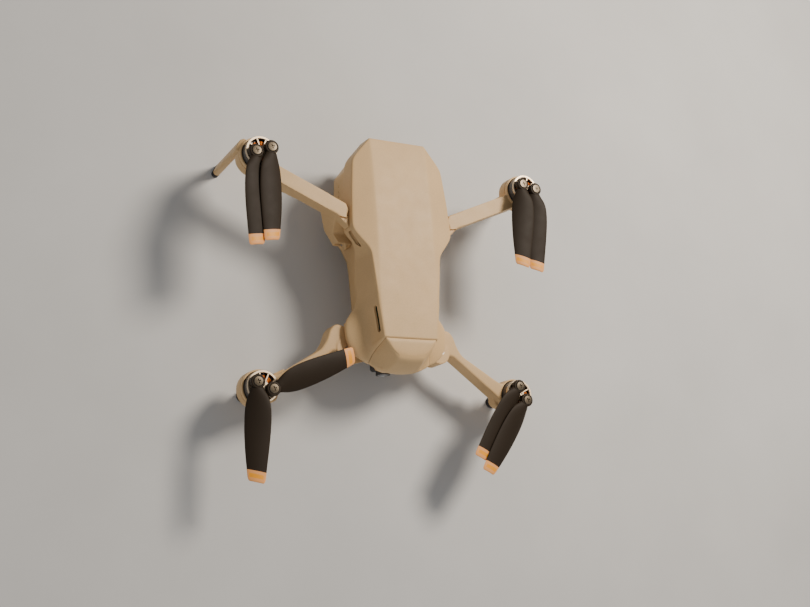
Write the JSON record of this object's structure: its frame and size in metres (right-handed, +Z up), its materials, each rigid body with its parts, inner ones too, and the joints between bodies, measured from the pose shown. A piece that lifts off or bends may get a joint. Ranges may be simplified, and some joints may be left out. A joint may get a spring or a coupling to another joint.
{
  "type": "folding quadcopter",
  "caption": "Palm-sized folding camera quadcopter with four fold-out arms, two-blade folding propellers, long rear legs and a camera on a gimbal under the nose.",
  "frame": {"origin": "On the ground, below the middle of the unfolded aircraft's box with its propellers as they lie at rest.", "axes": "+Z up, -Y towards the nose, +Y towards the tail, +X towards the aircraft's own left side."},
  "size_m": [0.2, 0.1996, 0.0568],
  "materials": {
    "shell_grey": "fine sprayed texture, matte",
    "arm_grey": "moulded, matte",
    "belly_grey": "moulded, matte",
    "door_grey": "moulded, matte",
    "blade_dark": "moulded, satin, with a coloured tip band",
    "bell_metal": "turned, satin",
    "stator": "enamelled copper winding on a dark core",
    "steel": "satin",
    "screw_black": "black oxide",
    "rubber_black": "matte",
    "gimbal_black": "satin",
    "lens_glass": "coated",
    "window_dark": "polished",
    "board_green": "solder mask",
    "heat_aluminium": "bead blasted",
    "battery_grey": "moulded",
    "frame_magnesium": "die cast",
    "antenna_tan": "ceramic",
    "button_grey": "satin",
    "light_guide": "frosted",
    "port_steel": "drawn"
  },
  "bodies": {
    "body": {"battery": "battery_grey", "battery_contacts": "gimbal_black", "battery_door_pin": "steel", "belly_plate": "belly_grey", "front_hinge_pin_left": "steel", "front_hinge_pin_right": "steel", "gimbal_dampers": "rubber_black", "gimbal_plate": "gimbal_black", "gps_antenna": "antenna_tan", "heat_sink": "heat_aluminium", "infrared_window": "window_dark", "inner_frame": "frame_magnesium", "lower_shell": "shell_grey", "main_board": "board_green", "memory_card_slot": "port_steel", "nose_cap": "shell_grey", "power_lights": "light_guide", "rear_hinge_pin_left": "steel", "rear_hinge_pin_right": "steel", "shell_screws": "steel", "top_shell": "shell_grey", "usb_port": "port_steel", "vision_lenses": "lens_glass"},
    "front_arm_left": {"front_arm_left": "arm_grey", "front_foot_left": "rubber_black", "stator_front_left": "stator"},
    "rear_arm_left": {"rear_arm_left": "arm_grey", "rear_foot_left": "rubber_black", "stator_rear_left": "stator"},
    "front_arm_right": {"front_arm_right": "arm_grey", "front_foot_right": "rubber_black", "stator_front_right": "stator"},
    "rear_arm_right": {"rear_arm_right": "arm_grey", "rear_foot_right": "rubber_black", "stator_rear_right": "stator"},
    "rotor_front_left": {"rotor_bell_front_left": "bell_metal", "blade_screws_front_left": "screw_black"},
    "blade_a_front_left": {"blade_a_front_left": "blade_dark"},
    "blade_b_front_left": {"blade_b_front_left": "blade_dark"},
    "rotor_front_right": {"rotor_bell_front_right": "bell_metal", "blade_screws_front_right": "screw_black"},
    "blade_a_front_right": {"blade_a_front_right": "blade_dark"},
    "blade_b_front_right": {"blade_b_front_right": "blade_dark"},
    "rotor_rear_left": {"rotor_bell_rear_left": "bell_metal", "blade_screws_rear_left": "screw_black"},
    "blade_a_rear_left": {"blade_a_rear_left": "blade_dark"},
    "blade_b_rear_left": {"blade_b_rear_left": "blade_dark"},
    "rotor_rear_right": {"rotor_bell_rear_right": "bell_metal", "blade_screws_rear_right": "screw_black"},
    "blade_a_rear_right": {"blade_a_rear_right": "blade_dark"},
    "blade_b_rear_right": {"blade_b_rear_right": "blade_dark"},
    "battery_door": {"battery_door": "door_grey"},
    "power_button": {"power_button": "button_grey"},
    "fan": {"fan_rotor": "gimbal_black"},
    "gimbal_yaw": {"gimbal_yaw_arm": "gimbal_black"},
    "gimbal_roll": {"gimbal_roll_arm": "gimbal_black"},
    "camera": {"camera_body": "gimbal_black", "camera_lens": "lens_glass"}
  },
  "joints": [
    {"name": "front_arm_left_fold", "type": "hinge", "parent": "body", "child": "front_arm_left", "pos_m": [0.0305, -0.0237, 0.025], "axis": [0, 0, 1], "range_deg": [0, 101]},
    {"name": "rear_arm_left_fold", "type": "hinge", "parent": "body", "child": "rear_arm_left", "pos_m": [0.026, 0.042, 0.025], "axis": [-0.891, 0.454, 0], "range_deg": [0, 180]},
    {"name": "front_arm_right_fold", "type": "hinge", "parent": "body", "child": "front_arm_right", "pos_m": [-0.0305, -0.0237, 0.025], "axis": [0, 0, -1], "range_deg": [0, 101]},
    {"name": "rear_arm_right_fold", "type": "hinge", "parent": "body", "child": "rear_arm_right", "pos_m": [-0.026, 0.042, 0.025], "axis": [-0.891, -0.454, 0], "range_deg": [0, 180]},
    {"name": "front_left_motor_spin", "type": "hinge", "parent": "front_arm_left", "child": "rotor_front_left", "pos_m": [0.0833, -0.0476, 0.0332], "axis": [0, 0, 1], "continuous": true},
    {"name": "blade_a_front_left_fold", "type": "hinge", "parent": "rotor_front_left", "child": "blade_a_front_left", "pos_m": [0.08563, -0.0518, 0.0361], "axis": [0, 0, 1], "range_deg": [0, 180]},
    {"name": "blade_b_front_left_fold", "type": "hinge", "parent": "rotor_front_left", "child": "blade_b_front_left", "pos_m": [0.08097, -0.0434, 0.0361], "axis": [0, 0, -1], "range_deg": [0, 180]},
    {"name": "front_right_motor_spin", "type": "hinge", "parent": "front_arm_right", "child": "rotor_front_right", "pos_m": [-0.0833, -0.0476, 0.0332], "axis": [0, 0, 1], "continuous": true},
    {"name": "blade_a_front_right_fold", "type": "hinge", "parent": "rotor_front_right", "child": "blade_a_front_right", "pos_m": [-0.07888, -0.04948, 0.0361], "axis": [0, 0, 1], "range_deg": [-111, 69]},
    {"name": "blade_b_front_right_fold", "type": "hinge", "parent": "rotor_front_right", "child": "blade_b_front_right", "pos_m": [-0.08772, -0.04572, 0.0361], "axis": [0, 0, -1], "range_deg": [0, 176]},
    {"name": "rear_left_motor_spin", "type": "hinge", "parent": "rear_arm_left", "child": "rotor_rear_left", "pos_m": [0.088, 0.08, 0.0512], "axis": [0, 0, 1], "continuous": true},
    {"name": "blade_a_rear_left_fold", "type": "hinge", "parent": "rotor_rear_left", "child": "blade_a_rear_left", "pos_m": [0.09268, 0.07892, 0.0541], "axis": [0, 0, 1], "range_deg": [0, 196]},
    {"name": "blade_b_rear_left_fold", "type": "hinge", "parent": "rotor_rear_left", "child": "blade_b_rear_left", "pos_m": [0.08332, 0.08108, 0.0541], "axis": [0, 0, -1], "range_deg": [0, 163]},
    {"name": "rear_right_motor_spin", "type": "hinge", "parent": "rear_arm_right", "child": "rotor_rear_right", "pos_m": [-0.088, 0.08, 0.0512], "axis": [0, 0, 1], "continuous": true},
    {"name": "blade_a_rear_right_fold", "type": "hinge", "parent": "rotor_rear_right", "child": "blade_a_rear_right", "pos_m": [-0.0835, 0.08167, 0.0541], "axis": [0, 0, -1], "range_deg": [-226, 0]},
    {"name": "blade_b_rear_right_fold", "type": "hinge", "parent": "rotor_rear_right", "child": "blade_b_rear_right", "pos_m": [-0.0925, 0.07834, 0.0541], "axis": [0, 0, 1], "range_deg": [-134, 0]},
    {"name": "battery_door_hinge", "type": "hinge", "parent": "body", "child": "battery_door", "pos_m": [0, 0.0965, 0.0176], "axis": [-1, 0, 0], "range_deg": [0, 95]},
    {"name": "power_button_press", "type": "slide", "parent": "body", "child": "power_button", "axis": [0, 0, 1], "range_m": [0, 0.0006], "stiffness_N_per_m": 500},
    {"name": "fan_spin", "type": "hinge", "parent": "body", "child": "fan", "pos_m": [0, 0.0148, 0.04], "axis": [0, 0, 1], "continuous": true},
    {"name": "gimbal_yaw", "type": "hinge", "parent": "body", "child": "gimbal_yaw", "pos_m": [0, -0.0236, 0.024], "axis": [0, 0, 1], "range_deg": [-20, 20]},
    {"name": "gimbal_roll", "type": "hinge", "parent": "gimbal_yaw", "child": "gimbal_roll", "pos_m": [0, -0.0206, 0.0145], "axis": [0, 1, 0], "range_deg": [-30, 30]},
    {"name": "camera_tilt", "type": "hinge", "parent": "gimbal_roll", "child": "camera", "pos_m": [0, -0.0281, 0.0145], "axis": [1, 0, 0], "range_deg": [-20, 90]}
  ]
}
